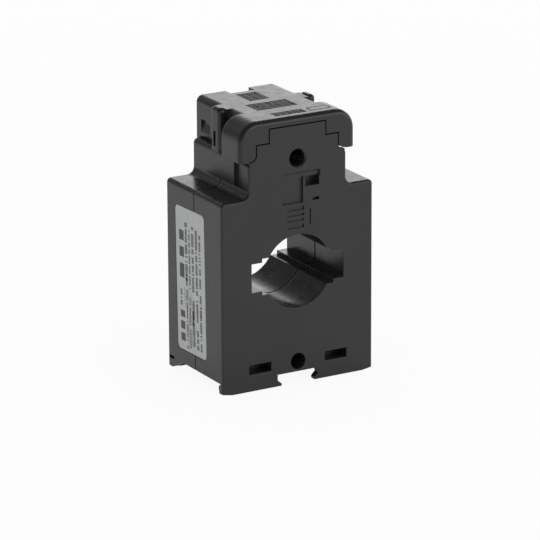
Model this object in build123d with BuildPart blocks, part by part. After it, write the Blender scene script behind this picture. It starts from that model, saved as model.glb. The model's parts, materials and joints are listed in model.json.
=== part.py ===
from build123d import *
import math
import os

# Window current transformer in a two-shell moulded case, in millimetres.
# X runs across the front, Y from front to back and Z up.
# The origin is on the floor, at the middle of the overall width and depth.

# Case
case_depth = 32.3
hood_reach = 3.0
foot_height = 3.5
shoulder_rise = 0.418
neck_height = 10.6
side_wall = 1.6
face_wall = 1.8
shoulder_corner = 1.2
neck_fillet = 2.3
deck_corner = 1.5
face_edge = 0.7
seam_gap = 0.45
lip_thickness = 0.7
lip_reach = 1.4
fit_gap = 0.1

# Feet, each a skirt under one face with a barbed inner side
foot_toe = 1.9
foot_barb = 2.4
foot_root = 1.2
barb_height = 2.6
foot_gap = 13.6
hook_reach = 1.3
hook_top = 1.8
hook_bottom = 0.7
toe_bevel_width = 3.3
toe_bevel_height = 0.55
gusset_toe = 1.5
gusset_reach = 8.7
end_notch_start = 0.8
end_notch_end = 3.6
end_notch_bottom = 3.0
end_notch_top = 3.9
end_notch_depth = 1.0

# Window: a cable round, a bar slot and a short thick bar share one centre
cable_radius = 11.0
bar_width = 30.5
bar_height = 8.6
thick_bar_width = 23.6
thick_bar_height = 10.9
tube_wall = 1.3
window_groove = 0.3

# Fixing holes, straight through the case on its middle line, the upper one just below the deck
upper_hole_drop = 0.6
lower_hole_z = 6.58
fixing_radius = 2.45
upper_tube_wall = 1.15
lower_tube_wall = 0.95
hole_chamfer = 0.45

# Front wall upstand, two steps that the cover fits round, and the rear one, all below the cover's top
low_step_inset = 2.8
low_step_drop = 6.9
high_step_inset = 4.2
high_step_drop = 2.7
step_foot_fillet = 2.2
rear_upstand_half = 3.6
rear_upstand_drop = 7.7

# Blind mounting pockets low in the front face
pocket_inner = 8.9
pocket_length = 7.4
pocket_bottom = 5.1
pocket_height = 2.85
pocket_depth = 5.0
pocket_wall = 1.0

# Moulded catch relief in the front face: left, right, bottom and top of each part, from the deck
catch_recess = (-5.2, 1.75, -14.0, -5.3)
catch_hood = (1.75, 7.4, -6.6, -5.3)
catch_hole = (2.4, 7.1, -9.3, -6.6)
catch_slit = (4.75, 7.1, -13.8, -12.9)
rib_panel = (-3.5, 2.1, -21.4, -15.0)
panel_groove = (3.9, 4.3, -20.8, -16.1)
catch_depth = 0.8
catch_bevel = 0.5
catch_hole_depth = 3.0
catch_slit_depth = 1.3
panel_depth = 0.5
panel_ribs = 3
rib_height = 0.9

# Side tabs behind the wings of the cover
tab_gap = 0.7
tab_thickness = 1.9
tab_ledge = 0.1
tab_start = 0.75
tab_width = 5.05
tab_rise = 0.3
tab_corner = 1.2
tab_edge = 1.1
tab_slot_start = 2.1
tab_slot_width = 1.3
tab_slot_rise = 0.5
tab_slot_height = 4.5

# Blind pockets in the sides of the neck, under the wings of the cover
side_pocket_start = 3.7
side_pocket_end = 8.3
side_pocket_rise = 2.3
side_pocket_drop = 1.0
side_pocket_depth = 0.9

# Terminal cover
cover_gap = 0.2
wing_reach = 2.8
cap_depth = 10.7
cap_corner = 6.0
cap_edge = 1.4
cap_rear_edge = 0.5
cap_wall = 1.3
skirt_wall = 1.2
skirt_setback = 0.9
skirt_edge = 2.0
hood_edge = 0.8
hood_drop = 1.8
hood_gap = 0.3
cover_plate = 1.2
hood_inner_half = 3.9
step_gap = 0.38
side_lip_start = 0.5
side_lip_width = 5.6
side_lip_reach = 0.4
side_lip_thickness = 0.9
grip_depth = 0.7
grip_start = 10.6
grip_end = 15.9
grip_rise = 1.3
grip_height = 3.8
grip_flat = 1.2

# Ribbed fields on top of the cover: left, right, front and back, from the seam
top_fields = [(-5.4, 4.8, -13.7, -9.3), (-6.9, 6.4, -5.4, 1.8), (-3.5, 3.1, 4.3, 13.6)]
field_pitch = 1.2
field_groove = 0.85
field_depth = 0.35
frame_groove = (6.2, 13.1, -12.8, -9.7)
frame_line = 0.35
frame_corner = 0.6

# Terminal block
terminal_pitch = 15.9
well_width = 5.8
well_length = 6.4
well_start = 4.8
well_sink = 0.2
mouth_width = 3.8
mouth_sill = 1.0
block_wall = 1.05
block_front = -4.0
block_end_gap = 0.3
block_leg_inset = 1.3
block_leg_depth = 6.0
block_gap = 0.3
channel_gap = 0.4

# Terminal clamps
cage_gap = 0.3
cage_lift_gap = 0.2
cage_bottom_wall = 0.9
cage_opening = 4.4
cage_top_wall = 1.4
cage_side_wall = 0.8
screw_radius = 1.5
screw_run_gap = 0.05
screw_tip_gap = 0.05
head_radius = 2.5
head_height = 1.5
head_edge = 0.25
head_sink = 0.2
head_cover_gap = 0.5
screw_slot_width = 0.7
screw_slot_depth = 0.8
clamp_travel = 1.6

# Contact bars
contact_width = 3.0
contact_thickness = 0.8
contact_bend = -1.0
contact_tail = 9.5

# Coil
core_build = 2.8
coil_clearance = 0.268
coil_seat_gap = 0.737
wrap_gap = 0.08
tape_thickness = 0.15
winding_thickness = 0.65
cap_thickness = 0.42
cap_split = 0.1
pad_thickness = 0.9
pad_gap = 0.05
winding_arc = 330.0
lead_radius = 0.5
lead_gap = 0.12

# Rating label in a shallow recess of the left side
label_front = -6.2
label_back = 10.5
label_bottom = 7.9
label_drop = 6.4
label_turn = -1.3
label_corner = 1.4
label_thickness = 0.15
label_recess = 0.2
label_margin = 0.15

# Depths, from the front to the back
front_y = -(case_depth + hood_reach) / 2
rear_y = front_y + case_depth
hood_y = rear_y + hood_reach
seam_y = (front_y + rear_y) / 2
inner_front = front_y + face_wall
inner_rear = rear_y - face_wall
cap_rear = front_y + cap_depth
skirt_rear = rear_y - skirt_setback
block_y = seam_y + block_front
block_rear = inner_rear - block_end_gap
well_y = seam_y + well_start
well_end = well_y + well_length
well_middle = well_y + well_length / 2
bend_y = seam_y + contact_bend

# Coil: its layers fill the space from the window tube out to the case wall
winding_depth = tape_thickness + wrap_gap
cap_depth_in = winding_depth + winding_thickness + wrap_gap
core_depth_in = cap_depth_in + cap_thickness + wrap_gap
window_reach = math.hypot(bar_width / 2, bar_height / 2) + tube_wall
coil_inner = window_reach + coil_clearance
coil_outer = coil_inner + core_build + 2 * core_depth_in
coil_half = case_depth / 2 - face_wall - pad_thickness - 2 * pad_gap

# Widths: the coil sets the case, and the terminals set the cover, the tabs and the neck
case_half = coil_outer + coil_clearance + side_wall
terminal_x = terminal_pitch / 2
block_half = terminal_x + well_width / 2 + block_wall
block_leg_half = block_half - block_leg_inset
opening_half = block_leg_half + block_gap
skirt_half = block_half + block_gap + skirt_wall
tab_outer = skirt_half + tab_gap + tab_thickness
neck_half = tab_outer + tab_ledge
cap_half = neck_half + wing_reach
low_step_half = neck_half - low_step_inset
high_step_half = low_step_half - high_step_inset
upper_tube_radius = fixing_radius + upper_tube_wall
lower_tube_radius = fixing_radius + lower_tube_wall

# Heights, from the floor up: lower hole, coil, shoulder, deck, terminals and cover
window_z = lower_hole_z + lower_tube_radius + coil_seat_gap + coil_outer
shoulder_top = window_z + coil_outer + shoulder_rise
label_top = shoulder_top - label_drop
deck_top = shoulder_top + neck_height
deck_bottom = deck_top - side_wall
upper_hole_z = deck_top - upper_hole_drop
block_leg_bottom = deck_top - block_leg_depth
contact_bottom = deck_top - contact_tail
well_floor = deck_top - well_sink
cage_bottom = well_floor + cage_gap
opening_bottom = cage_bottom + cage_bottom_wall
opening_top = opening_bottom + cage_opening
cage_top = opening_top + cage_top_wall
contact_top = opening_top - cage_lift_gap
bar_bottom = contact_top - contact_thickness
head_bottom = cage_top + clamp_travel + fit_gap
head_top = head_bottom + head_height
block_top = head_top + head_sink
cover_bottom = deck_top + cover_gap
cover_top = head_top + head_cover_gap + cover_plate
low_step_top = cover_top - low_step_drop
high_step_top = cover_top - high_step_drop
rear_upstand_top = cover_top - rear_upstand_drop
tab_top = cover_top + tab_rise
side_signs = {"left": -1, "right": 1}

os.makedirs("parts", exist_ok=True)


def upright(y, z=0.0):
    """Upright sketch plane at depth y, with X to the right and Z up from height z."""
    return Plane(origin=(0, y, z), x_dir=(1, 0, 0), z_dir=(0, -1, 0))


def slab(x0, x1, y0, y1, z0, z1, mode=Mode.ADD):
    """Adds a block between the given sides to the open part."""
    with Locations(((x0 + x1) / 2, (y0 + y1) / 2, (z0 + z1) / 2)):
        Box(x1 - x0, y1 - y0, z1 - z0, mode=mode)


def panel(x0, x1, z0, z1, mode=Mode.ADD):
    """Adds a rectangle between the given sides to the open sketch."""
    with Locations(((x0 + x1) / 2, (z0 + z1) / 2)):
        Rectangle(x1 - x0, z1 - z0, mode=mode)


def save(shape, name):
    """Labels a finished piece and writes it."""
    shape.label = name
    export_step(shape, f"parts/{name}.step")


def case_outline(inset=0.0):
    """Outline of the case above its feet, moved inward by inset."""
    corners = [
        (-case_half, foot_height),
        (case_half, foot_height),
        (case_half, shoulder_top),
        (neck_half, shoulder_top),
        (neck_half, deck_top),
        (-neck_half, deck_top),
        (-neck_half, shoulder_top),
        (-case_half, shoulder_top),
    ]
    right = [0, shoulder_corner, neck_fillet, deck_corner]
    with BuildSketch() as outline:
        with BuildLine():
            FilletPolyline(*corners, radius=right[:1] + right + right[:0:-1], close=True)
        make_face()
        if inset > 0:
            offset(amount=-inset, kind=Kind.ARC)
    return outline.sketch


def window_outline(grow=0.0):
    """Outline of the window, moved outward by grow."""
    with BuildSketch() as outline:
        with Locations((0, window_z)):
            Rectangle(bar_width, bar_height)
            Rectangle(thick_bar_width, thick_bar_height)
            Circle(cable_radius)
        if grow > 0:
            offset(amount=grow, kind=Kind.ARC)
    return outline.sketch


def foot_section(face, inward):
    """Section of a foot under the given face, with its barb on the inner side."""
    with BuildSketch() as section:
        with BuildLine():
            Polyline(
                (face, 0),
                (face + inward * foot_toe, 0),
                (face + inward * foot_barb, barb_height),
                (face + inward * foot_root, foot_height),
                (face + inward * foot_root, foot_height + side_wall),
                (face, foot_height + side_wall),
                close=True,
            )
        make_face()
    return section.sketch


def gusset_section():
    """Section of the sloped gusset that closes each end of the rear feet."""
    with BuildSketch() as section:
        with BuildLine():
            Polyline(
                (rear_y, 0),
                (rear_y - gusset_toe, 0),
                (rear_y - gusset_reach, foot_height),
                (rear_y - gusset_reach, foot_height + side_wall),
                (rear_y, foot_height + side_wall),
                close=True,
            )
        make_face()
    return section.sketch


def foot_cuts():
    """Middle gap between the feet, narrowed by its hooks, and the bevels at the outer toes."""
    gap_half = foot_gap / 2
    with BuildSketch() as cuts:
        with BuildLine():
            Polyline(
                (-gap_half, foot_height),
                (-gap_half, hook_top),
                (-gap_half + hook_reach, hook_bottom),
                (-gap_half + hook_reach, -foot_height),
                (gap_half - hook_reach, -foot_height),
                (gap_half - hook_reach, hook_bottom),
                (gap_half, hook_top),
                (gap_half, foot_height),
                close=True,
            )
        make_face()
        for side in side_signs.values():
            with BuildLine():
                Polyline(
                    (side * (case_half - toe_bevel_width), 0),
                    (side * case_half, toe_bevel_height),
                    (side * (case_half + foot_height), toe_bevel_height),
                    (side * (case_half + foot_height), -foot_height),
                    (side * (case_half - toe_bevel_width), -foot_height),
                    close=True,
                )
            make_face()
    return cuts.sketch


def upstand_outline(grow=0.0):
    """Outline of the stepped front upstand, moved outward by grow."""
    foot_half = min(low_step_half + step_foot_fillet + fit_gap, neck_half)
    foot_fillet = foot_half - low_step_half - fit_gap
    right = [
        (foot_half, deck_bottom),
        (foot_half, deck_top),
        (low_step_half, deck_top),
        (low_step_half, low_step_top),
        (high_step_half, low_step_top),
        (high_step_half, high_step_top),
    ]
    left = [(-x, z) for x, z in reversed(right)]
    fillets = [0, 0, foot_fillet, 0, 0, 0]
    with BuildSketch() as outline:
        with BuildLine():
            FilletPolyline(*right, *left, radius=fillets + fillets[::-1], close=True)
        make_face()
        if grow > 0:
            offset(amount=grow, kind=Kind.ARC)
    return outline.sketch


def fixing_sections(tubes):
    """Fixing holes, or the outlines of the tubes round them, kept above the case floor."""
    upper, lower = (upper_tube_radius, lower_tube_radius) if tubes else (fixing_radius, fixing_radius)
    with BuildSketch() as section:
        with Locations((0, upper_hole_z)):
            Circle(upper)
        with Locations((0, lower_hole_z)):
            Circle(lower)
        if tubes:
            panel(-lower, lower, -foot_height, foot_height, mode=Mode.SUBTRACT)
    return section.sketch


def label_outline(grow=0.0):
    """Outline of the rating label, in Y and Z, moved outward by grow."""
    with BuildSketch() as outline:
        with Locations((seam_y + (label_front + label_back) / 2, (label_bottom + label_top) / 2)):
            RectangleRounded(
                label_back - label_front + 2 * grow,
                label_top - label_bottom + 2 * grow,
                label_corner + grow,
                rotation=label_turn,
            )
    return outline.sketch


def cap_outline(inset=0.0, drop=0.0):
    """Outline of the front cap of the cover, moved inward by inset and lengthened down by drop."""
    half = cap_half - inset
    corner = cap_corner - inset
    top = cover_top - (cover_plate if inset > 0 else 0)
    with BuildSketch() as outline:
        with BuildLine():
            FilletPolyline(
                (-half, cover_bottom - drop),
                (half, cover_bottom - drop),
                (half, top),
                (-half, top),
                radius=[0, 0, corner, corner],
                close=True,
            )
        make_face()
    return outline.sketch


def skirt_outline():
    """Outline of the cover behind its cap, with rounded top corners."""
    with BuildSketch() as outline:
        with BuildLine():
            FilletPolyline(
                (-skirt_half, cover_bottom),
                (skirt_half, cover_bottom),
                (skirt_half, cover_top),
                (-skirt_half, cover_top),
                radius=[0, 0, skirt_edge, skirt_edge],
                close=True,
            )
        make_face()
    return outline.sketch


# Front shell
with BuildPart() as front_shell:
    with BuildSketch(upright(front_y)):
        add(case_outline())
    extrude(amount=front_y - seam_y + seam_gap)
    with BuildSketch(Plane.YZ.offset(-case_half)):
        add(foot_section(front_y, 1))
    extrude(amount=2 * case_half)
    with BuildSketch(upright(front_y)):
        add(foot_cuts())
    extrude(amount=-foot_barb, mode=Mode.SUBTRACT)
    face_edges = front_shell.edges().group_by(Axis.Y)[0]
    fillet(face_edges.filter_by(lambda e: e.center().Z > foot_height + face_edge), radius=face_edge)

    # Hollow, with a rebate at the seam for the lip of the rear shell
    with BuildSketch(upright(inner_front)):
        add(case_outline(side_wall))
    extrude(amount=inner_front - seam_y, mode=Mode.SUBTRACT)
    with BuildSketch(upright(seam_y)):
        add(case_outline(side_wall - lip_thickness - fit_gap))
    extrude(amount=lip_reach + fit_gap, mode=Mode.SUBTRACT)

    # Opening in the deck for the terminal block, and the stepped upstand
    slab(-opening_half, opening_half, block_y, seam_y, deck_bottom - side_wall, deck_top, mode=Mode.SUBTRACT)
    with BuildSketch(upright(front_y)):
        add(upstand_outline())
    extrude(amount=-face_wall)

    # Window tube, fixing tubes, pocket boxes and the backing of the catch hole
    with BuildSketch(upright(inner_front)):
        add(window_outline(tube_wall))
        add(fixing_sections(True))
    extrude(amount=inner_front - seam_y)
    for side in side_signs.values():
        box_inner = pocket_inner - pocket_wall
        box_outer = pocket_inner + pocket_length + pocket_wall
        near, far = sorted((side * box_inner, side * box_outer))
        slab(near, far, inner_front, front_y + pocket_depth + pocket_wall, foot_height,
             pocket_bottom + pocket_height + pocket_wall)
    slab(catch_hole[0] - pocket_wall, catch_hole[1] + pocket_wall, inner_front,
         front_y + catch_hole_depth + pocket_wall, deck_top + catch_hole[2] - pocket_wall,
         deck_top + catch_hole[3] + pocket_wall)

    # Window, fixing holes and mounting pockets
    with BuildSketch(upright(front_y)):
        add(window_outline())
        add(fixing_sections(False))
    extrude(amount=front_y - seam_y, mode=Mode.SUBTRACT)
    with BuildSketch(upright(seam_y)):
        add(window_outline(window_groove))
    extrude(amount=window_groove, mode=Mode.SUBTRACT)
    with BuildSketch(upright(front_y)):
        for side in side_signs.values():
            near, far = sorted((side * pocket_inner, side * (pocket_inner + pocket_length)))
            panel(near, far, pocket_bottom, pocket_bottom + pocket_height)
    extrude(amount=-pocket_depth, mode=Mode.SUBTRACT)
    mouth = front_shell.edges().filter_by(GeomType.CIRCLE).group_by(Axis.Y)[0]
    chamfer(mouth.filter_by(lambda e: abs(e.arc_center.Z - upper_hole_z) < fit_gap), length=hole_chamfer)

    # Catch relief: a recess with a bevelled top, a hood, a deep hole, a slit and a ribbed panel
    relief_plane = upright(front_y, deck_top)
    with BuildSketch(relief_plane):
        panel(*catch_recess)
        panel(*catch_hood)
        panel(*panel_groove)
    extrude(amount=-catch_depth, mode=Mode.SUBTRACT)
    recess_top = deck_top + catch_recess[3]
    with BuildSketch(Plane.YZ.offset(catch_recess[0])):
        with BuildLine():
            Polyline(
                (front_y, recess_top),
                (front_y, recess_top + catch_bevel),
                (front_y + catch_depth, recess_top),
                close=True,
            )
        make_face()
    extrude(amount=catch_hood[1] - catch_recess[0], mode=Mode.SUBTRACT)
    with BuildSketch(relief_plane):
        panel(*catch_hole)
    extrude(amount=-catch_hole_depth, mode=Mode.SUBTRACT)
    with BuildSketch(relief_plane):
        panel(*catch_slit)
    extrude(amount=-catch_slit_depth, mode=Mode.SUBTRACT)
    with BuildSketch(relief_plane):
        panel(*rib_panel)
        rib_pitch = (rib_panel[3] - rib_panel[2]) / (panel_ribs + 1)
        for number in range(1, panel_ribs + 1):
            rib_z = rib_panel[2] + number * rib_pitch
            panel(rib_panel[0], rib_panel[1], rib_z - rib_height / 2, rib_z + rib_height / 2,
                  mode=Mode.SUBTRACT)
    extrude(amount=-panel_depth, mode=Mode.SUBTRACT)

    # Pockets in the sides of the neck, and the seam shut there by the wall's own end
    for side in side_signs.values():
        near, far = sorted((side * (neck_half - side_pocket_depth), side * neck_half))
        slab(near, far, front_y + side_pocket_start, front_y + side_pocket_end,
             shoulder_top + side_pocket_rise, deck_top - side_pocket_drop, mode=Mode.SUBTRACT)
        near, far = sorted((side * (neck_half - side_wall + lip_thickness + fit_gap), side * neck_half))
        slab(near, far, seam_y - seam_gap, seam_y, shoulder_top + neck_fillet, deck_top - deck_corner)

    # Recess for the label
    with BuildSketch(Plane.YZ.offset(-case_half)):
        add(label_outline(label_margin))
    extrude(amount=label_recess, mode=Mode.SUBTRACT)
save(front_shell.part, "front_shell")

# Rear shell
with BuildPart() as rear_shell:
    with BuildSketch(upright(seam_y)):
        add(case_outline())
    extrude(amount=seam_y - rear_y)
    with BuildSketch(Plane.YZ.offset(-case_half)):
        add(foot_section(rear_y, -1))
    extrude(amount=2 * case_half)
    for side in side_signs.values():
        with BuildSketch(Plane.YZ.offset(side * (case_half - side_wall / 2))):
            add(gusset_section())
        extrude(amount=side_wall / 2, both=True)
    with BuildSketch(upright(rear_y)):
        add(foot_cuts())
    extrude(amount=foot_barb, mode=Mode.SUBTRACT)
    face_edges = rear_shell.edges().group_by(Axis.Y)[-1]
    fillet(face_edges.filter_by(lambda e: e.center().Z > foot_height + face_edge), radius=face_edge)

    for side in side_signs.values():
        near, far = sorted((side * (case_half - end_notch_depth), side * case_half))
        slab(near, far, rear_y - end_notch_end, rear_y - end_notch_start, end_notch_bottom, end_notch_top,
             mode=Mode.SUBTRACT)

    # Hollow, with a lip that enters the front shell and clears its lower fixing tube
    with BuildSketch(upright(seam_y)):
        add(case_outline(side_wall))
    extrude(amount=seam_y - inner_rear, mode=Mode.SUBTRACT)
    with BuildSketch(upright(seam_y)):
        add(case_outline(side_wall - lip_thickness))
        add(case_outline(side_wall), mode=Mode.SUBTRACT)
        clear_half = lower_tube_radius + fit_gap
        panel(-clear_half, clear_half, foot_height, window_z, mode=Mode.SUBTRACT)
    extrude(amount=lip_reach)

    # Opening in the deck for the terminal block, the rear upstand and the side tabs
    opening_end = well_end + block_gap
    slab(-opening_half, opening_half, seam_y - lip_reach, opening_end, deck_bottom - side_wall, deck_top,
         mode=Mode.SUBTRACT)
    slab(-rear_upstand_half, rear_upstand_half, inner_rear, rear_y, deck_bottom, rear_upstand_top)
    for side in side_signs.values():
        with BuildSketch(Plane.YZ.offset(side * (tab_outer - tab_thickness / 2))):
            with BuildLine():
                FilletPolyline(
                    (seam_y + tab_start, deck_bottom),
                    (seam_y + tab_start + tab_width, deck_bottom),
                    (seam_y + tab_start + tab_width, tab_top),
                    (seam_y + tab_start, tab_top),
                    radius=[0, 0, tab_corner, tab_corner],
                    close=True,
                )
            make_face()
            slot_y = seam_y + tab_start + tab_slot_start
            slot_z = deck_top + tab_slot_rise
            panel(slot_y, slot_y + tab_slot_width, slot_z, slot_z + tab_slot_height, mode=Mode.SUBTRACT)
        extrude(amount=tab_thickness / 2, both=True)
    tab_rims = rear_shell.edges().filter_by(lambda e: e.center().Z > tab_top - tab_corner)
    fillet(tab_rims.filter_by(lambda e: abs(abs(e.center().X) - tab_outer) < fit_gap), radius=tab_edge)

    # Window tube and fixing tubes
    with BuildSketch(upright(seam_y)):
        add(window_outline(tube_wall))
        add(fixing_sections(True))
    extrude(amount=seam_y - inner_rear)
    with BuildSketch(upright(seam_y)):
        add(window_outline())
        add(fixing_sections(False))
    extrude(amount=seam_y - rear_y, mode=Mode.SUBTRACT)
    with BuildSketch(upright(seam_y)):
        add(window_outline(window_groove))
    extrude(amount=-window_groove, mode=Mode.SUBTRACT)

    # Recess for the label
    with BuildSketch(Plane.YZ.offset(-case_half)):
        add(label_outline(label_margin))
    extrude(amount=label_recess, mode=Mode.SUBTRACT)
save(rear_shell.part, "rear_shell")

# Terminal cover, with two wings in front and two wire hoods behind
with BuildPart() as terminal_cover:
    with BuildSketch(upright(front_y)):
        add(cap_outline())
    extrude(amount=-cap_depth)
    for number, radius in ((0, cap_edge), (-1, cap_rear_edge)):
        rim = terminal_cover.edges().group_by(Axis.Y)[number]
        fillet(rim.filter_by(lambda e: e.center().Z > cover_bottom + cap_edge), radius=radius)
    with BuildSketch(upright(cap_rear - cap_wall)):
        add(skirt_outline())
    extrude(amount=cap_rear - cap_wall - skirt_rear)
    with BuildSketch(upright(skirt_rear - skirt_wall)):
        add(skirt_outline())
        panel(-hood_inner_half, hood_inner_half, cover_bottom, cover_top, mode=Mode.SUBTRACT)
    extrude(amount=skirt_rear - skirt_wall - hood_y)
    with BuildSketch(upright(rear_y + hood_gap)):
        for side in side_signs.values():
            near, far = sorted((side * hood_inner_half, side * skirt_half))
            panel(near, far, cover_bottom - hood_drop, cover_bottom)
    extrude(amount=rear_y + hood_gap - hood_y)
    rim = terminal_cover.edges().group_by(Axis.Y)[-1]
    fillet(rim.filter_by(lambda e: e.center().Z > cover_bottom + hood_edge), radius=hood_edge)
    for side in side_signs.values():
        near, far = sorted((side * (skirt_half - skirt_edge), side * (skirt_half + side_lip_reach)))
        slab(near, far, seam_y + side_lip_start, seam_y + side_lip_start + side_lip_width,
             cover_top - side_lip_thickness, cover_top)

    # Hollow of the cap, the skirt and the hoods, all open below
    drop = cover_gap
    with BuildSketch(upright(front_y + face_wall)):
        add(cap_outline(inset=cap_wall, drop=drop))
    extrude(amount=-(cap_depth - face_wall - cap_wall), mode=Mode.SUBTRACT)
    inner_half = skirt_half - skirt_wall
    inner_top = cover_top - cover_plate
    slab(-inner_half, inner_half, cap_rear - 2 * cap_wall, skirt_rear - skirt_wall, cover_bottom - drop,
         inner_top, mode=Mode.SUBTRACT)
    for side in side_signs.values():
        near, far = sorted((side * (hood_inner_half + skirt_wall), side * inner_half))
        slab(near, far, skirt_rear - 2 * skirt_wall, hood_y - skirt_wall, cover_bottom - hood_drop - drop,
             inner_top, mode=Mode.SUBTRACT)

    # Stepped cut-out round the front upstand and the notch over the rear one
    with BuildSketch(upright(front_y)):
        add(upstand_outline(step_gap))
    extrude(amount=-face_wall, mode=Mode.SUBTRACT)
    notch_half = min(rear_upstand_half + step_gap, hood_inner_half)
    slab(-notch_half, notch_half, skirt_rear - 2 * skirt_wall, rear_y, cover_bottom - drop,
         rear_upstand_top + step_gap, mode=Mode.SUBTRACT)

    # Ribbed fields and the framed place for a marker on top
    for left, right, front, back in top_fields:
        grooves = int((back - front) // field_pitch)
        with BuildSketch(Plane.XY.offset(cover_top)):
            with Locations(((left + right) / 2, seam_y + (front + back) / 2)):
                with GridLocations(0, field_pitch, 1, grooves):
                    Rectangle(right - left, field_groove)
        extrude(amount=-field_depth, mode=Mode.SUBTRACT)
    with BuildSketch(Plane.XY.offset(cover_top)):
        left, right, front, back = frame_groove
        with Locations(((left + right) / 2, seam_y + (front + back) / 2)):
            RectangleRounded(right - left, back - front, frame_corner)
            RectangleRounded(right - left - 2 * frame_line, back - front - 2 * frame_line,
                             frame_corner - frame_line, mode=Mode.SUBTRACT)
    extrude(amount=-field_depth, mode=Mode.SUBTRACT)

    # Finger recesses in the sides, deepest at their tops
    grip_bottom = cover_bottom + grip_rise
    grip_top = grip_bottom + grip_height
    with BuildSketch(upright(seam_y + grip_start)):
        for side in side_signs.values():
            with BuildLine():
                Polyline(
                    (side * skirt_half, grip_bottom),
                    (side * skirt_half, grip_top),
                    (side * (skirt_half - grip_depth), grip_top),
                    (side * (skirt_half - grip_depth), grip_top - grip_flat),
                    close=True,
                )
            make_face()
    extrude(amount=grip_start - grip_end, mode=Mode.SUBTRACT)
save(terminal_cover.part, "terminal_cover")

# Terminal block, seated on the deck astride the upper fixing tube
with BuildPart() as terminal_block:
    slab(-block_half, block_half, block_y, block_rear, deck_top, block_top)
    slab(-block_leg_half, block_leg_half, block_y + block_gap, well_end, block_leg_bottom, deck_top)
    channel_half = upper_tube_radius + channel_gap
    slab(-channel_half, channel_half, block_y, block_rear, block_leg_bottom,
         upper_hole_z + channel_half, mode=Mode.SUBTRACT)
    for side in side_signs.values():
        middle = side * terminal_x
        slab(middle - well_width / 2, middle + well_width / 2, well_y, well_end, well_floor, block_top,
             mode=Mode.SUBTRACT)
        slab(middle - mouth_width / 2, middle + mouth_width / 2, well_end, block_rear,
             well_floor + mouth_sill, bar_bottom - fit_gap, mode=Mode.SUBTRACT)
        slot_half = contact_width / 2 + fit_gap / 2
        slab(middle - slot_half, middle + slot_half, block_y, well_y, bar_bottom - fit_gap / 2,
             contact_top + fit_gap / 2, mode=Mode.SUBTRACT)
        slab(middle - slot_half, middle + slot_half, block_y, bend_y + contact_thickness + fit_gap,
             block_leg_bottom, contact_top, mode=Mode.SUBTRACT)
save(terminal_block.part, "terminal_block")

# Contact bars, clamp cages and clamp screws, one of each for a terminal
cage_width = well_width - 2 * cage_gap
cage_length = well_length - cage_gap - fit_gap
for name, side in side_signs.items():
    middle = side * terminal_x
    with BuildPart() as contact:
        slab(middle - contact_width / 2, middle + contact_width / 2, bend_y, well_end - cage_lift_gap,
             bar_bottom, contact_top)
        slab(middle - contact_width / 2, middle + contact_width / 2, bend_y, bend_y + contact_thickness,
             contact_bottom, contact_top)
        outer_bend = contact.edges().filter_by(Axis.X).group_by(Axis.Y)[0].sort_by(Axis.Z)[-1]
        fillet(outer_bend, radius=contact_thickness * 0.75)
    save(contact.part, f"contact_{name}")

    with BuildPart() as cage:
        slab(middle - cage_width / 2, middle + cage_width / 2, well_middle - cage_length / 2,
             well_middle + cage_length / 2, cage_bottom, cage_top)
        slab(middle - cage_width / 2 + cage_side_wall, middle + cage_width / 2 - cage_side_wall,
             well_middle - cage_length / 2, well_middle + cage_length / 2, opening_bottom, opening_top,
             mode=Mode.SUBTRACT)
        with BuildSketch(Plane.XY.offset(opening_top)):
            with Locations((middle, well_middle)):
                Circle(screw_radius + screw_run_gap)
        extrude(amount=cage_top_wall, mode=Mode.SUBTRACT)
    save(cage.part, f"clamp_cage_{name}")

    with BuildPart() as screw:
        with BuildSketch(Plane.XY.offset(contact_top + screw_tip_gap)):
            with Locations((middle, well_middle)):
                Circle(screw_radius)
        extrude(amount=head_bottom - contact_top - screw_tip_gap)
        with BuildSketch(Plane.XY.offset(head_bottom)):
            with Locations((middle, well_middle)):
                Circle(head_radius)
        extrude(amount=head_height)
        rims = screw.edges().filter_by(GeomType.CIRCLE).group_by(Axis.Z)
        chamfer(rims[-1], length=head_edge)
        chamfer(rims[0], length=head_edge)
        slab(middle - head_radius, middle + head_radius, well_middle - screw_slot_width / 2,
             well_middle + screw_slot_width / 2, head_top - screw_slot_depth, head_top, mode=Mode.SUBTRACT)
    save(screw.part, f"clamp_screw_{name}")

# Coil round the window tube, from the outside in
coil_axis = Axis((0, seam_y, window_z), (0, 1, 0))
gap_angle = math.radians((360 - winding_arc) / 2)


def layer(depth):
    """Inner radius, outer radius and half length of the coil at a depth under its surface."""
    return coil_inner + depth, coil_outer - depth, coil_half - depth


def coil_plane(angle):
    """Plane through the coil axis, its X pointing outward at an angle from straight up."""
    return Plane(
        origin=(0, seam_y, window_z),
        x_dir=(math.sin(angle), 0, math.cos(angle)),
        z_dir=(-math.cos(angle), 0, math.sin(angle)),
    )


def tube_section(depth, thickness):
    """Hollow section of a layer that wraps round everything under it."""
    outer_near, outer_far, outer_half = layer(depth)
    inner_near, inner_far, inner_half_length = layer(depth + thickness)
    with BuildSketch() as section:
        panel(outer_near, outer_far, -outer_half, outer_half)
        panel(inner_near, inner_far, -inner_half_length, inner_half_length, mode=Mode.SUBTRACT)
    return section.sketch


for name, depth, thickness in (
    ("winding_tape", 0.0, tape_thickness),
    ("secondary_winding", winding_depth, winding_thickness),
):
    with BuildPart() as wrap:
        with BuildSketch(coil_plane(gap_angle)):
            add(tube_section(depth, thickness))
        revolve(axis=coil_axis, revolution_arc=winding_arc)
    save(wrap.part, name)

for name, end in (("core_cap_front", -1), ("core_cap_rear", 1)):
    with BuildPart() as core_cap:
        with BuildSketch(coil_plane(0)):
            add(tube_section(cap_depth_in, cap_thickness))
            keep_near, keep_far, keep_half = layer(cap_depth_in)
            split = sorted((-end * keep_half, end * cap_split / 2))
            panel(keep_near, keep_far, split[0], split[1], mode=Mode.SUBTRACT)
        revolve(axis=coil_axis)
    save(core_cap.part, name)

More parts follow.
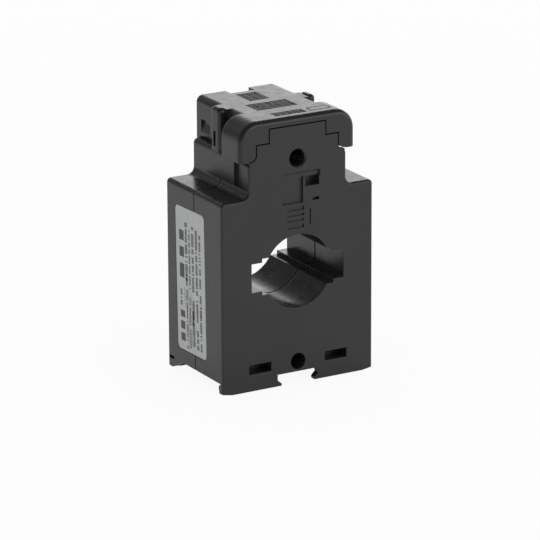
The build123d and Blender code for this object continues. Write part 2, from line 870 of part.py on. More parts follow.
with BuildPart() as core_ring:
    with BuildSketch(coil_plane(0)):
        core_near, core_far, core_half = layer(core_depth_in)
        panel(core_near, core_far, -core_half, core_half)
    revolve(axis=coil_axis)
save(core_ring.part, "core_ring")

for name, pad_y in (
    ("core_pad_front", inner_front + pad_gap),
    ("core_pad_rear", inner_rear - pad_gap - pad_thickness),
):
    with BuildPart() as core_pad:
        with BuildSketch(upright(pad_y)):
            with Locations((0, window_z)):
                Circle(coil_outer)
                Circle(coil_inner, mode=Mode.SUBTRACT)
        extrude(amount=-pad_thickness)
    save(core_pad.part, name)

# Leads from the ends of the winding to the solder tails of the contacts
lead_y = bend_y - lead_radius - pad_gap
cap_surface = layer(cap_depth_in)[1]
lead_x = (cap_surface - lead_radius) * math.sin(gap_angle) - lead_radius - lead_gap
lead_start = window_z + math.sqrt(cap_surface ** 2 - (lead_x - lead_radius) ** 2) + lead_gap
lead_end_z = contact_bottom + 2 * lead_radius
for name, side in side_signs.items():
    with BuildPart() as lead:
        with BuildLine() as route:
            FilletPolyline(
                (side * lead_x, lead_y, lead_start),
                (side * lead_x, lead_y, lead_end_z),
                (side * (terminal_x + contact_width / 2), lead_y, lead_end_z),
                radius=2 * lead_radius,
            )
        with BuildSketch(Plane.XY.offset(lead_start)):
            with Locations((side * lead_x, lead_y)):
                Circle(lead_radius)
        sweep(path=route.line)
    save(lead.part, f"lead_{name}")

# Rating label
with BuildPart() as rating_label:
    with BuildSketch(Plane.YZ.offset(-case_half + label_recess - label_thickness)):
        add(label_outline())
    extrude(amount=label_thickness)
save(rating_label.part, "rating_label")
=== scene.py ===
import json
import math

import bmesh
import bpy
from mathutils import Matrix, Vector


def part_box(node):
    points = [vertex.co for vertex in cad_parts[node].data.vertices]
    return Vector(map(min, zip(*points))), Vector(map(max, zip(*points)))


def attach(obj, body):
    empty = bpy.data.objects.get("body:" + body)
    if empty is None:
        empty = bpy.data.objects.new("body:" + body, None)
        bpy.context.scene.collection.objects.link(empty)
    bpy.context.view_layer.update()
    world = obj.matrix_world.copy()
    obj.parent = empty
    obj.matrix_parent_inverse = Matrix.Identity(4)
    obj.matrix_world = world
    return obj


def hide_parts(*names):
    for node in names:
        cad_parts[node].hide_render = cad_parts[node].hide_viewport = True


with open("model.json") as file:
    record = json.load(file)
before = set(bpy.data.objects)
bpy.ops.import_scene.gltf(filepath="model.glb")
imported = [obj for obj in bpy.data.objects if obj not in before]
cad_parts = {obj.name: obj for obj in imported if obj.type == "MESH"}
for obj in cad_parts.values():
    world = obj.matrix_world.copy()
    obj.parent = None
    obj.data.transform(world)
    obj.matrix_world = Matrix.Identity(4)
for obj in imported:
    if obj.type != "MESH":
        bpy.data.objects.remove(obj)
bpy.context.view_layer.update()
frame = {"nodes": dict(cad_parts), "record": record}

MM = 0.001


# Camera, on the photograph's line of sight

camera_place = Vector((-0.55371, -0.95831, 0.38001))
camera_aim = Vector((-0.01184, -0.02213, 0.03722))
camera_lens = 266.70
camera_sensor = 36.0
camera_roll = math.radians(-0.245)
camera_nearest = 0.01
camera_farthest = 50.0


def make_camera():
    """A long lens that looks down at the front and the left side."""
    data = bpy.data.cameras.new("view_camera")
    data.lens = camera_lens
    data.sensor_width = camera_sensor
    data.clip_start = camera_nearest
    data.clip_end = camera_farthest
    camera = bpy.data.objects.new("view_camera", data)
    bpy.context.scene.collection.objects.link(camera)
    camera.location = camera_place
    camera.rotation_mode = "QUATERNION"
    level = (camera_aim - camera_place).to_track_quat("-Z", "Y")
    camera.rotation_quaternion = level @ Matrix.Rotation(camera_roll, 3, "Z").to_quaternion()
    bpy.context.scene.camera = camera


make_camera()


# Node helpers, for materials and for geometry

def add_node(tree, kind, inputs=None, **settings):
    """A node with its settings, and its inputs joined to sockets or set to plain values."""
    node = tree.nodes.new(kind)
    for setting, value in settings.items():
        setattr(node, setting, value)
    for label, value in (inputs or {}).items():
        if isinstance(value, bpy.types.NodeSocket):
            tree.links.new(value, node.inputs[label])
        else:
            node.inputs[label].default_value = value
    return node


def typed_socket(sockets, kind, name="Value"):
    """The socket of a name that carries a kind of value, where several share the name."""
    return next(socket for socket in sockets if socket.type == kind and socket.name == name)


def calculate(tree, operation, *values):
    """One sum on sockets and plain numbers."""
    node = add_node(tree, "ShaderNodeMath", dict(enumerate(values)), operation=operation)
    return node.outputs["Value"]


def new_material(name):
    """An empty node material with its shader and output joined."""
    material = bpy.data.materials.new(name)
    material.use_nodes = True
    tree = material.node_tree
    tree.nodes.clear()
    shader = add_node(tree, "ShaderNodeBsdfPrincipled")
    add_node(tree, "ShaderNodeOutputMaterial", {"Surface": shader.outputs["BSDF"]})
    return material, tree, shader


def object_coordinates(tree, scale=(1.0, 1.0, 1.0), centre=(0.0, 0.0, 0.0)):
    """Object coordinates measured from a centre, stretched by a scale."""
    coordinates = add_node(tree, "ShaderNodeTexCoord")
    mapping = add_node(tree, "ShaderNodeMapping", {
        "Vector": coordinates.outputs["Object"], "Scale": scale,
        "Location": [-place * size for place, size in zip(centre, scale)]})
    return mapping.outputs["Vector"]


def split(tree, vector):
    """The three parts of a vector."""
    return add_node(tree, "ShaderNodeSeparateXYZ", {"Vector": vector}).outputs


def noise(tree, vector, scale, detail=2.0, roughness=0.5):
    """Noise at a scale in features per metre."""
    texture = add_node(tree, "ShaderNodeTexNoise", {
        "Vector": vector, "Scale": scale, "Detail": detail, "Roughness": roughness})
    return texture.outputs["Fac"]


def cells(tree, vector, scale):
    """Distance to the nearest of scattered points, for pores and pits."""
    texture = add_node(tree, "ShaderNodeTexVoronoi", {"Vector": vector, "Scale": scale})
    return texture.outputs["Distance"]


def tones(tree, value, dark, pale, low=0.3, high=0.7):
    """Colour that goes from dark to pale as a value goes from low to high."""
    node = add_node(tree, "ShaderNodeValToRGB", {"Fac": value})
    for element, place, colour in zip(node.color_ramp.elements, (low, high), (dark, pale)):
        element.position = place
        element.color = (*colour, 1.0)
    return node.outputs["Color"]


def span(tree, value, low, high, start=0.0, end=1.0):
    """Value between start and end carried to the range from low to high."""
    node = add_node(tree, "ShaderNodeMapRange", {
        "Value": value, "From Min": start, "From Max": end, "To Min": low, "To Max": high})
    return node.outputs["Result"]


def blend_colours(tree, share, colour, second):
    """Mixes a second, plain colour into a colour, by a share."""
    node = add_node(tree, "ShaderNodeMix", {"Factor": share}, data_type="RGBA")
    tree.links.new(colour, typed_socket(node.inputs, "RGBA", "A"))
    typed_socket(node.inputs, "RGBA", "B").default_value = (*second, 1.0)
    return typed_socket(node.outputs, "RGBA", "Result")


def across_and_up(tree, centre, axis):
    """The two distances from a centre at right angles to the axis, Y or Z."""
    parts = split(tree, object_coordinates(tree, centre=centre))
    return parts["X"], parts["Z" if axis == "Y" else "Y"]


def radius_round(tree, centre, axis):
    """Distance from the line through the centre along the axis."""
    offsets = across_and_up(tree, centre, axis)
    squares = [calculate(tree, "MULTIPLY", offset, offset) for offset in offsets]
    return calculate(tree, "SQRT", calculate(tree, "ADD", *squares))


def angle_round(tree, centre, axis):
    """Angle round the line through the centre along the axis."""
    return calculate(tree, "ARCTAN2", *across_and_up(tree, centre, axis))


def ripples(tree, centre, axis, waves):
    """Waves outward from the line through the centre along the axis."""
    radius = radius_round(tree, centre, axis)
    return calculate(tree, "SINE", calculate(tree, "MULTIPLY", radius, waves))


def mixed(tree, first, second, share=0.5):
    """Two patterns added up, the first by its share and the second by the rest."""
    first_part = calculate(tree, "MULTIPLY", first, share)
    return calculate(tree, "ADD", first_part, calculate(tree, "MULTIPLY", second, 1.0 - share))


def laid_over(tree, pattern, ground, amount):
    """A pattern added to another, by an amount."""
    return calculate(tree, "ADD", calculate(tree, "MULTIPLY", pattern, amount), ground)


def paint(tree, shader, colour, roughness, metallic=0.0):
    """Joins a colour and a roughness to the shader, and says how far it is metal."""
    tree.links.new(colour, shader.inputs["Base Color"])
    tree.links.new(roughness, shader.inputs["Roughness"])
    shader.inputs["Metallic"].default_value = metallic


def bump(tree, shader, height, strength, distance, under=None):
    """Joins a height to the shader's normal, over another normal if one is given."""
    node = add_node(tree, "ShaderNodeBump", {
        "Height": height, "Strength": strength, "Distance": distance})
    if under is not None:
        tree.links.new(under, node.inputs["Normal"])
    tree.links.new(node.outputs["Normal"], shader.inputs["Normal"])


def softened_edges(tree, radius):
    """Normal that rounds sharp edges, and how far a point is into such an edge."""
    bevel = add_node(tree, "ShaderNodeBevel", {"Radius": radius}, samples=6)
    surface = add_node(tree, "ShaderNodeNewGeometry")
    likeness = add_node(tree, "ShaderNodeVectorMath", {
        0: bevel.outputs["Normal"], 1: surface.outputs["Normal"]}, operation="DOT_PRODUCT")
    return bevel.outputs["Normal"], calculate(tree, "SUBTRACT", 1.0, likeness.outputs["Value"])


# Places and sizes that the patterns of the materials follow

def middle(box):
    """The middle of a box, given by its two corners."""
    return tuple((low + high) / 2 for low, high in zip(*box))


coil_centre = (0.0, middle(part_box("winding_tape"))[1], middle(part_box("core_pad_front"))[2])
screw_centres = {side: middle(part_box(f"clamp_screw_{side}")) for side in ("left", "right")}

# The polished parts of the window: its wide slot and its round, just outside their own walls
slot_half_width = 15.5 * MM
slot_half_height = 5.7 * MM
round_radius = 11.35 * MM
window_polish = 0.05

# Waves in radians a metre: a turn of the steel strip each 0.29 mm, a turning mark each 0.15 mm
strip_waves = 22000.0
turning_waves = 42000.0
tape_laps = 26


# Materials

def inside_window(tree):
    """1 inside the window, where the mould was polished, and 0 elsewhere on the case."""
    offsets = across_and_up(tree, coil_centre, "Y")
    near = [calculate(tree, "LESS_THAN", calculate(tree, "ABSOLUTE", offset), limit)
            for offset, limit in zip(offsets, (slot_half_width, slot_half_height))]
    in_round = calculate(tree, "LESS_THAN", radius_round(tree, coil_centre, "Y"), round_radius)
    return calculate(tree, "MAXIMUM", calculate(tree, "MULTIPLY", *near), in_round)


def moulded_plastic(name, dark, pale, worn_and_highlit, smooth, rough, polished_window=False):
    """Spark-eroded plastic: fine grain, faint drift in colour and sheen, edges paler from wear and
    a painted highlight.
    """
    material, tree, shader = new_material(name)
    place = object_coordinates(tree)
    drift = noise(tree, place, scale=55.0, detail=3.0)
    edge_normal, edge_share = softened_edges(tree, radius=0.22 * MM)
    # Paler edges: partly wear from handling, partly a painted highlight along the edges
    handled_and_highlit = span(tree, edge_share, low=0.0, high=0.8, start=0.02, end=0.3)
    rubbed = calculate(tree, "MULTIPLY", handled_and_highlit, noise(tree, place, scale=300.0))
    gloss = noise(tree, place, scale=380.0, detail=4.0)
    sheen = span(tree, gloss, smooth, rough, start=0.3, end=0.7)
    if polished_window:
        polish = calculate(tree, "MULTIPLY", inside_window(tree), window_polish)
        sheen = calculate(tree, "SUBTRACT", sheen, polish)
    body = tones(tree, drift, dark, pale)
    paint(tree, shader, blend_colours(tree, rubbed, body, worn_and_highlit), sheen)
    grain = noise(tree, place, scale=2600.0, detail=3.0, roughness=0.6)
    bump(tree, shader, grain, strength=0.3, distance=0.02 * MM, under=edge_normal)
    return material


def natural_nylon(name):
    """Unpigmented nylon: milky, a little waxy, with faint clouds."""
    material, tree, shader = new_material(name)
    place = object_coordinates(tree)
    clouds = noise(tree, place, scale=120.0, detail=3.0)
    colour = tones(tree, clouds, dark=(0.68, 0.66, 0.6), pale=(0.77, 0.76, 0.71))
    paint(tree, shader, colour, span(tree, clouds, low=0.3, high=0.42))
    shader.inputs["Subsurface Weight"].default_value = 0.15
    shader.inputs["Subsurface Scale"].default_value = 1.0 * MM
    bump(tree, shader, noise(tree, place, scale=1800.0), strength=0.2, distance=0.02 * MM)
    return material


def wound_steel(name, centre):
    """Edges of a strip of electrical steel wound in a tight spiral."""
    material, tree, shader = new_material(name)
    turns = ripples(tree, centre, "Y", strip_waves)
    stain = noise(tree, object_coordinates(tree), scale=240.0, detail=4.0)
    shade = laid_over(tree, turns, stain, amount=0.18)
    colour = tones(tree, shade, dark=(0.2, 0.21, 0.23), pale=(0.46, 0.47, 0.49),
                   low=0.25, high=0.75)
    paint(tree, shader, colour, span(tree, stain, low=0.32, high=0.5), metallic=1.0)
    bump(tree, shader, turns, strength=0.4, distance=0.03 * MM)
    return material


def enamelled_copper(name):
    """Copper wire under clear amber enamel, a shade darker where the varnish runs."""
    material, tree, shader = new_material(name)
    varnish = noise(tree, object_coordinates(tree), scale=420.0, detail=3.0)
    colour = tones(tree, varnish, dark=(0.42, 0.13, 0.05), pale=(0.66, 0.27, 0.12))
    paint(tree, shader, colour, span(tree, varnish, low=0.22, high=0.36), metallic=0.9)
    shader.inputs["Coat Weight"].default_value = 0.6
    shader.inputs["Coat Roughness"].default_value = 0.12
    bump(tree, shader, varnish, strength=0.2, distance=0.02 * MM)
    return material


def wrapped_tape(name, centre, laps):
    """Glossy yellow polyester tape in overlapping laps round the ring, with a step at each lap."""
    material, tree, shader = new_material(name)
    angle = angle_round(tree, centre, "Y")
    lap = calculate(tree, "FRACT", calculate(tree, "MULTIPLY", angle, laps / (2 * math.pi)))
    streaks = noise(tree, object_coordinates(tree), scale=200.0, detail=3.0)
    colour = tones(tree, mixed(tree, lap, streaks), dark=(0.62, 0.42, 0.05),
                   pale=(0.84, 0.66, 0.16), low=0.2, high=0.85)
    paint(tree, shader, colour, span(tree, streaks, low=0.16, high=0.3))
    bump(tree, shader, lap, strength=0.6, distance=0.06 * MM)
    return material


def closed_foam(name):
    """Dark closed-cell foam with open pores on its cut faces, the pores painted darker as shade."""
    material, tree, shader = new_material(name)
    place = object_coordinates(tree)
    pores_and_pore_shade = cells(tree, place, scale=1400.0)
    # Pore hollows painted darker: painted shade
    colour = tones(tree, pores_and_pore_shade, dark=(0.02, 0.02, 0.022), pale=(0.09, 0.09, 0.095),
                   low=0.05, high=0.5)
    paint(tree, shader, colour, span(tree, noise(tree, place, scale=600.0), low=0.8, high=0.95))
    bump(tree, shader, pores_and_pore_shade, strength=0.7, distance=0.12 * MM)
    return material


def worked_metal(name, dark, pale, smooth, rough, stretch):
    """Plated sheet metal, bright on its edges, its grain along the least stretched direction."""
    material, tree, shader = new_material(name)
    streaks = noise(tree, object_coordinates(tree, stretch), scale=1500.0, detail=4.0)
    clouds = noise(tree, object_coordinates(tree), scale=500.0)
    edge_normal, edge_share = softened_edges(tree, radius=0.15 * MM)
    rubbed = span(tree, edge_share, low=0.0, high=0.5, start=0.02, end=0.3)
    body = tones(tree, mixed(tree, streaks, clouds), dark, pale)
    colour = blend_colours(tree, rubbed, body, second=(0.85, 0.84, 0.82))
    paint(tree, shader, colour, span(tree, streaks, smooth, rough), metallic=1.0)
    bump(tree, shader, streaks, strength=0.35, distance=0.01 * MM, under=edge_normal)
    return material


def turned_metal(name, centre):
    """Zinc-plated screw with fine turning rings round its axis."""
    material, tree, shader = new_material(name)
    rings = ripples(tree, centre, "Z", turning_waves)
    clouds = noise(tree, object_coordinates(tree), scale=700.0, detail=3.0)
    edge_normal, _ = softened_edges(tree, radius=0.12 * MM)
    shade = laid_over(tree, rings, clouds, amount=0.08)
    colour = tones(tree, shade, dark=(0.44, 0.45, 0.45), pale=(0.66, 0.66, 0.63),
                   low=0.25, high=0.75)
    paint(tree, shader, colour, span(tree, clouds, low=0.26, high=0.4), metallic=1.0)
    bump(tree, shader, rings, strength=0.25, distance=0.01 * MM, under=edge_normal)
    return material


def wire_sleeve(name):
    """Red insulation with a soft gloss and slight waves from its extrusion."""
    material, tree, shader = new_material(name)
    waves = noise(tree, object_coordinates(tree, scale=(1.0, 1.0, 0.2)), scale=900.0)
    colour = tones(tree, waves, dark=(0.42, 0.03, 0.02), pale=(0.52, 0.05, 0.03))
    paint(tree, shader, colour, span(tree, waves, low=0.25, high=0.4))
    bump(tree, shader, waves, strength=0.25, distance=0.03 * MM)
    return material


def silver_film(name):
    """Satin silver label film with a faint brushed grain down its length and a little dust."""
    material, tree, shader = new_material(name)
    stretched = object_coordinates(tree, scale=(1.0, 14.0, 0.5))
    brushed = noise(tree, stretched, scale=320.0, detail=4.0)
    dust = noise(tree, object_coordinates(tree), scale=160.0, detail=5.0)
    tone = mixed(tree, brushed, dust, share=0.6)
    colour = tones(tree, tone, dark=(0.40, 0.41, 0.415), pale=(0.49, 0.50, 0.505))
    paint(tree, shader, colour, span(tree, brushed, low=0.36, high=0.46), metallic=0.25)
    bump(tree, shader, brushed, strength=0.15, distance=0.008 * MM)
    return material


def printing_ink(name, colour, faded):
    """Thin grey ink that lets a little of the film through."""
    material, tree, shader = new_material(name)
    cover = noise(tree, object_coordinates(tree), scale=1800.0, detail=3.0)
    tint = tones(tree, cover, colour, faded, low=0.35)
    paint(tree, shader, tint, span(tree, cover, low=0.4, high=0.6))
    return material


# Finishes by material slot, the screws' by slot and side

# The worn colour of the edges is partly wear and partly a painted edge highlight
case_finish = {
    "dark": (0.012, 0.012, 0.0127), "pale": (0.016, 0.016, 0.0168),
    "worn_and_highlit": (0.035, 0.035, 0.036), "smooth": 0.26, "rough": 0.33,
}
block_finish = {
    "dark": (0.014, 0.014, 0.015), "pale": (0.02, 0.02, 0.021),
    "worn_and_highlit": (0.04, 0.04, 0.04), "smooth": 0.3, "rough": 0.4,
}
brass_finish = {
    "dark": (0.52, 0.45, 0.3), "pale": (0.68, 0.61, 0.44),
    "smooth": 0.24, "rough": 0.36, "stretch": (8.0, 0.6, 8.0),
}
cage_finish = {
    "dark": (0.42, 0.43, 0.45), "pale": (0.62, 0.62, 0.62),
    "smooth": 0.28, "rough": 0.42, "stretch": (0.6, 8.0, 8.0),
}
recipes = {
    "case_plastic": (moulded_plastic, {**case_finish, "polished_window": True}),
    "cover_plastic": (moulded_plastic, case_finish),
    "block_plastic": (moulded_plastic, block_finish),
    "core_steel": (wound_steel, {"centre": coil_centre}),
    "cap_plastic": (natural_nylon, {}),
    "winding_copper": (enamelled_copper, {}),
    "tape_film": (wrapped_tape, {"centre": coil_centre, "laps": tape_laps}),
    "pad_foam": (closed_foam, {}),
    "contact_brass": (worked_metal, brass_finish),
    "cage_steel": (worked_metal, cage_finish),
    "screw_steel_left": (turned_metal, {"centre": screw_centres["left"]}),
    "screw_steel_right": (turned_metal, {"centre": screw_centres["right"]}),
    "lead_sleeve": (wire_sleeve, {}),
    "label_film": (silver_film, {}),
}
finishes = {name: make(name, **settings) for name, (make, settings) in recipes.items()}


def dress_nodes():
    """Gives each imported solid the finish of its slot, or of its slot and side."""
    for entry in frame["record"]["subparts"]:
        slot = entry["material_slot"]
        side = entry["node"].split("_")[-1]
        surfaces = frame["nodes"][entry["node"]].data.materials
        surfaces.clear()
        surfaces.append(finishes[slot] if slot in finishes else finishes[f"{slot}_{side}"])


dress_nodes()


# Geometry helpers

def new_tree(name, sizes):
    """An empty geometry tree with a named input for each size, and the sockets of its inputs."""
    tree = bpy.data.node_groups.new(name, "GeometryNodeTree")
    tree.interface.new_socket("Geometry", in_out="OUTPUT", socket_type="NodeSocketGeometry")
    for label, value in sizes.items():
        kind = "NodeSocketInt" if isinstance(value, int) else "NodeSocketFloat"
        socket = tree.interface.new_socket(label, in_out="INPUT", socket_type=kind)
        socket.default_value = value
    return tree, add_node(tree, "NodeGroupInput").outputs


def combined(tree, **parts):
    """A vector from its parts, each a socket or a plain number."""
    return add_node(tree, "ShaderNodeCombineXYZ", parts).outputs["Vector"]


def finish_tree(tree, geometry, material):
    """Ends a tree with real geometry and its material."""
    real = add_node(tree, "GeometryNodeRealizeInstances", {"Geometry": geometry})
    painted = add_node(tree, "GeometryNodeSetMaterial", {
        "Geometry": real.outputs["Geometry"], "Material": material})
    add_node(tree, "NodeGroupOutput", {"Geometry": painted.outputs["Geometry"]})


def grown_mesh(name, tree, values):
    """Runs a geometry tree with the given values and returns its result as a plain mesh."""
    carrier = bpy.data.objects.new(name + "_carrier", bpy.data.meshes.new(name + "_carrier"))
    bpy.context.scene.collection.objects.link(carrier)
    modifier = carrier.modifiers.new("growth", "NODES")
    modifier.node_group = tree
    for item in tree.interface.items_tree:
        if item.in_out == "INPUT" and item.name in values:
            modifier[item.identifier] = values[item.name]
    depsgraph = bpy.context.evaluated_depsgraph_get()
    mesh = bpy.data.meshes.new_from_object(carrier.evaluated_get(depsgraph))
    bpy.data.objects.remove(carrier)
    mesh.name = name
    return mesh


def join_meshes(name, meshes, material):
    """One object at the origin from several meshes."""
    shape = bmesh.new()
    for mesh in meshes:
        shape.from_mesh(mesh)
        bpy.data.meshes.remove(mesh)
    joined = bpy.data.meshes.new(name)
    shape.to_mesh(joined)
    shape.free()
    joined.materials.clear()
    joined.materials.append(material)
    piece = bpy.data.objects.new(name, joined)
    bpy.context.scene.collection.objects.link(piece)
    return piece


# Winding: separate turns of wire round the core, in place of the solid copper shell

winding_low, winding_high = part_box("secondary_winding")
wire_radius = 0.31 * MM
winding_thickness = 0.65 * MM
winding_corner = 0.6 * MM
corner_steps = 3
wire_sides = 10
winding_inner = 17.643 * MM
winding_turns = 156
winding_gap_degrees = 30.0


def winding_sizes():
    """The sizes of the turns, worked out from the box of the copper shell."""
    outer = (winding_high[0] - winding_low[0]) / 2
    depth = winding_high[1] - winding_low[1]
    step = math.radians(360.0 - winding_gap_degrees) / winding_turns
    return {
        "Turns": winding_turns,
        "Loop Width": outer - winding_inner - winding_thickness,
        "Loop Height": depth - winding_thickness,
        "Loop Radius": (outer + winding_inner) / 2,
        "Wire Radius": wire_radius,
        "Corner": winding_corner,
        "Start": -math.pi / 2 + math.radians(winding_gap_degrees / 2) + step / 2,
        "Step": step,
    }


def winding_tree(sizes, material):
    """Rounded loops of wire, evenly turned round the coil's axis, with an open gap at the top."""
    tree, size = new_tree("winding", sizes)
    loop = add_node(tree, "GeometryNodeCurvePrimitiveQuadrilateral", {
        "Width": size["Loop Width"], "Height": size["Loop Height"]})
    rounded = add_node(tree, "GeometryNodeFilletCurve", {
        "Curve": loop.outputs["Curve"], "Count": corner_steps, "Radius": size["Corner"]},
        mode="POLY")
    round_wire = add_node(tree, "GeometryNodeCurvePrimitiveCircle", {
        "Resolution": wire_sides, "Radius": size["Wire Radius"]})
    wire = add_node(tree, "GeometryNodeCurveToMesh", {
        "Curve": rounded.outputs["Curve"], "Profile Curve": round_wire.outputs["Curve"]})
    placed = add_node(tree, "GeometryNodeTransform", {
        "Geometry": wire.outputs["Mesh"], "Translation": combined(tree, X=size["Loop Radius"])})
    centres = add_node(tree, "GeometryNodeMeshLine", {
        "Count": size["Turns"], "Offset": (0.0, 0.0, 0.0)}, mode="OFFSET")
    index = add_node(tree, "GeometryNodeInputIndex").outputs["Index"]
    turned = calculate(tree, "MULTIPLY_ADD", index, size["Step"], size["Start"])
    copies = add_node(tree, "GeometryNodeInstanceOnPoints", {
        "Points": centres.outputs["Mesh"], "Instance": placed.outputs["Geometry"],
        "Rotation": combined(tree, Y=turned)})
    finish_tree(tree, copies.outputs["Instances"], material)
    return tree


def make_winding():
    """All the turns of the winding, on the coil's own axis."""
    copper = finishes["winding_copper"]
    sizes = winding_sizes()
    mesh = grown_mesh("winding_turns", winding_tree(sizes, copper), sizes)
    mesh.transform(Matrix.Translation(coil_centre))
    piece = join_meshes("winding_turns", [mesh], copper)
    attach(piece, "housing")
    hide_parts("secondary_winding")


make_winding()


# Label print: plain bars and fields in place of words and marks, with sizes in millimetres

label_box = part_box("rating_label")
label_face = label_box[0][0]
label_turn = math.radians(-1.3)
label_width = 16.7
label_height = 43.1
print_thickness = 0.02
stroke_pitch = 0.5
stroke_length = 0.37
shortest_stroke = 0.65

# Columns of small type: distance from the rear edge, top and bottom from the top edge, width,
# share of the strokes that are printed, and seed
type_columns = [
    (5.2, 4.0, 22.0, 1.5, 0.86, 3),
    (5.4, 24.0, 42.0, 1.0, 0.86, 8),
    (7.3, 6.0, 23.5, 1.0, 0.8, 5),
    (7.3, 26.0, 41.5, 0.8, 0.9, 11),
    (9.0, 4.5, 24.0, 1.45, 0.76, 13),
    (9.0, 26.5, 40.5, 1.45, 0.84, 17),
    (11.2, 5.0, 24.5, 1.4, 0.78, 19),
    (11.2, 26.0, 41.0, 1.4, 0.8, 23),
    (13.3, 6.0, 22.0, 1.2, 0.74, 29),
    (13.3, 24.0, 41.0, 1.3, 0.82, 31),
    (2.0, 24.5, 29.5, 1.2, 0.85, 37),
]
# Plain fields and rules: distance from the rear edge and from the top edge, width and height
ink_fields = [
    (2.0, 7.0, 2.6, 3.0),
    (2.0, 12.0, 2.6, 3.0),
    (2.0, 17.0, 2.6, 4.2),
    (2.0, 31.2, 2.5, 2.0),
    (2.0, 34.4, 2.5, 2.4),
    (2.0, 38.0, 2.5, 2.4),
    (5.6, 19.8, 0.7, 3.4),
    (14.0, 27.0, 0.3, 4.0),
    (9.0, 30.0, 0.8, 4.5),
]
fine_rules = [
    (4.6, 24.0, 0.12, 6.0),
    (6.9, 24.0, 0.12, 18.0),
    (8.6, 25.0, 0.12, 16.0),
]


def print_column_tree(material):
    """A column of short printed strokes, some left out, as small type reads from afar."""
    tree, size = new_tree("print_column", {
        "Strokes": 1, "Pitch": stroke_pitch * MM, "Stroke Length": stroke_length * MM,
        "Shortest": shortest_stroke, "Column Width": 1.0 * MM,
        "Thickness": print_thickness * MM, "Word Share": 1.0, "Seed": 1})
    line = add_node(tree, "GeometryNodeMeshLine", {
        "Count": size["Strokes"], "Offset": combined(tree, Z=size["Pitch"])}, mode="OFFSET")
    stroke = add_node(tree, "GeometryNodeMeshCube", {"Size": combined(
        tree, X=size["Thickness"], Y=size["Column Width"], Z=size["Stroke Length"])})
    kept = add_node(tree, "FunctionNodeRandomValue", {"Seed": size["Seed"]}, data_type="BOOLEAN")
    tree.links.new(size["Word Share"], kept.inputs["Probability"])
    width = add_node(tree, "FunctionNodeRandomValue", {"Seed": size["Seed"]}, data_type="FLOAT")
    tree.links.new(size["Shortest"], typed_socket(width.inputs, "VALUE", "Min"))
    width_share = typed_socket(width.outputs, "VALUE")
    copies = add_node(tree, "GeometryNodeInstanceOnPoints", {
        "Points": line.outputs["Mesh"], "Instance": stroke.outputs["Mesh"],
        "Selection": typed_socket(kept.outputs, "BOOLEAN"),
        "Scale": combined(tree, X=1.0, Y=width_share, Z=1.0)})
    finish_tree(tree, copies.outputs["Instances"], material)
    return tree


def plain_field(back, top, width, height):
    """A flat printed field, placed from the label's rear and top edges."""
    shape = bmesh.new()
    bmesh.ops.create_cube(shape, size=1.0)
    for vertex in shape.verts:
        vertex.co.x *= print_thickness * MM
        vertex.co.y *= width * MM
        vertex.co.z *= height * MM
        vertex.co.y += (label_width / 2 - (back + width / 2)) * MM
        vertex.co.z += (label_height / 2 - (top + height / 2)) * MM
    mesh = bpy.data.meshes.new("plain_field")
    shape.to_mesh(mesh)
    shape.free()
    return mesh


def type_column(tree, back, top, bottom, width, share, seed):
    """One column of strokes, placed from the label's rear and top edges."""
    mesh = grown_mesh("print_column", tree, {
        "Strokes": int((bottom - top) / stroke_pitch), "Column Width": width * MM,
        "Word Share": share, "Seed": seed})
    along = (label_width / 2 - (back + width / 2)) * MM
    up = (label_height / 2 - bottom) * MM
    mesh.transform(Matrix.Translation(Vector((0.0, along, up))))
    return mesh


def make_label_print():
    """All the print of the label, turned and placed with it."""
    ink = printing_ink("label_ink", colour=(0.03, 0.03, 0.035), faded=(0.09, 0.09, 0.095))
    tree = print_column_tree(ink)
    meshes = [plain_field(*field) for field in ink_fields + fine_rules]
    meshes += [type_column(tree, *column) for column in type_columns]
    piece = join_meshes("label_print", meshes, ink)
    place = (label_face - print_thickness * MM / 2, *middle(label_box)[1:])
    piece.data.transform(Matrix.Translation(place) @ Matrix.Rotation(label_turn, 4, "X"))
    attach(piece, "housing")


make_label_print()


# Floor, light and background

floor_half = 6.0
floor_white = 0.86
floor_roughness = 0.9
studio_strength = 0.8
ceiling_strength = 0.12
object_middle = (0.0, 0.0, 0.04)


def join_backdrop(tree, output, path, lit, white, camera_amount, mirror_amount):
    """Shows plain white to camera rays and to mirror or glass rays, by the two amounts."""
    bounced = calculate(tree, "MAXIMUM", path["Is Glossy Ray"], path["Is Transmission Ray"])
    bounced = calculate(tree, "MULTIPLY", bounced, mirror_amount)
    direct = calculate(tree, "MULTIPLY", path["Is Camera Ray"], camera_amount)
    share = calculate(tree, "MAXIMUM", bounced, direct)
    mix = add_node(tree, "ShaderNodeMixShader", {"Fac": share, 1: lit, 2: white})
    tree.links.new(mix.outputs["Shader"], output.inputs["Surface"])


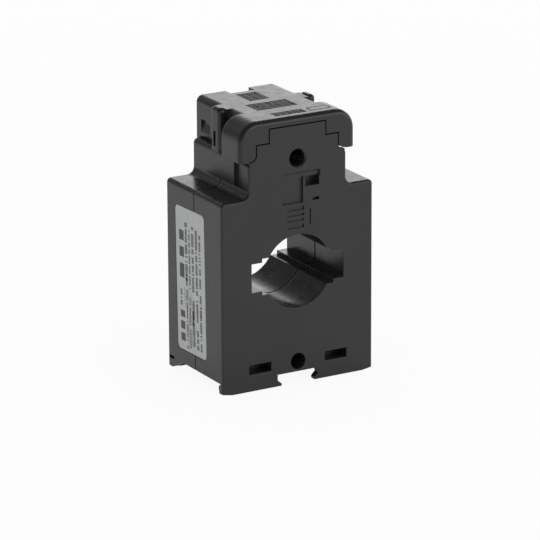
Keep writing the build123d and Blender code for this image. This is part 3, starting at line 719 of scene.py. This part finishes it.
def make_floor():
    """A wide pale floor that shows as the white background and keeps a light shadow."""
    mesh = bpy.data.meshes.new("pale_floor")
    corners = [(x * floor_half, y * floor_half, 0) for x, y in ((-1, -1), (1, -1), (1, 1), (-1, 1))]
    mesh.from_pydata(corners, [], [(0, 1, 2, 3)])
    floor = bpy.data.objects.new("pale_floor", mesh)
    bpy.context.scene.collection.objects.link(floor)
    material, tree, shader = new_material("floor_white")
    output = next(node for node in tree.nodes if node.type == "OUTPUT_MATERIAL")
    shader.inputs["Base Color"].default_value = (floor_white, floor_white, floor_white, 1.0)
    shader.inputs["Roughness"].default_value = floor_roughness
    shader.inputs["Specular IOR Level"].default_value = 0.0
    path = add_node(tree, "ShaderNodeLightPath").outputs
    # Reflections see the floor dim to the left of the object
    across = split(tree, object_coordinates(tree))["X"]
    reach = span(tree, across, low=0.45, high=1.0, start=-0.2, end=-0.08)
    strength = calculate(tree, "MAXIMUM", reach, path["Is Camera Ray"])
    glow = add_node(tree, "ShaderNodeEmission", {"Strength": strength})
    join_backdrop(tree, output, path, shader.outputs["BSDF"], glow.outputs["Emission"],
                  camera_amount=0.92, mirror_amount=0.35)
    mesh.materials.append(material)


def plain_background(tree, strength):
    """A white background at a strength, which is a socket or a plain number."""
    white = (1.0, 1.0, 1.0, 1.0)
    return add_node(tree, "ShaderNodeBackground", {
        "Color": white, "Strength": strength}).outputs["Background"]


def make_world():
    """White to the camera, soft as light, and dim at the ceiling and the left in reflections."""
    world = bpy.data.worlds.new("studio")
    bpy.context.scene.world = world
    world.use_nodes = True
    tree = world.node_tree
    tree.nodes.clear()
    path = add_node(tree, "ShaderNodeLightPath").outputs
    direction = split(tree, add_node(tree, "ShaderNodeTexCoord").outputs["Generated"])
    height = span(tree, direction["Z"], 1.0, ceiling_strength, start=0.3, end=0.48)
    side = span(tree, direction["X"], ceiling_strength, 1.0, start=-0.5, end=-0.05)
    shown = calculate(tree, "MULTIPLY", height, side)
    for ray in ("Is Camera Ray", "Is Transmission Ray"):
        shown = calculate(tree, "MAXIMUM", shown, path[ray])
    output = add_node(tree, "ShaderNodeOutputWorld")
    soft = plain_background(tree, studio_strength)
    white = plain_background(tree, shown)
    join_backdrop(tree, output, path, soft, white, camera_amount=1.0, mirror_amount=1.0)


def softbox(name, place, width, height, power):
    """A rectangular soft light that faces the object."""
    data = bpy.data.lights.new(name, "AREA")
    data.shape = "RECTANGLE"
    data.size = width
    data.size_y = height
    data.energy = power
    lamp = bpy.data.objects.new(name, data)
    bpy.context.scene.collection.objects.link(lamp)
    lamp.location = place
    lamp.rotation_mode = "QUATERNION"
    lamp.rotation_quaternion = (Vector(object_middle) - Vector(place)).to_track_quat("-Z", "Y")
    lamp.visible_camera = False


make_floor()
make_world()
softbox("rear_softbox", place=(0.50, 0.86, 0.30), width=1.6, height=0.36, power=2.1)
softbox("front_softbox", place=(0.52, -0.88, 0.36), width=1.0, height=0.5, power=1.8)

bpy.context.scene.view_settings.view_transform = "Standard"
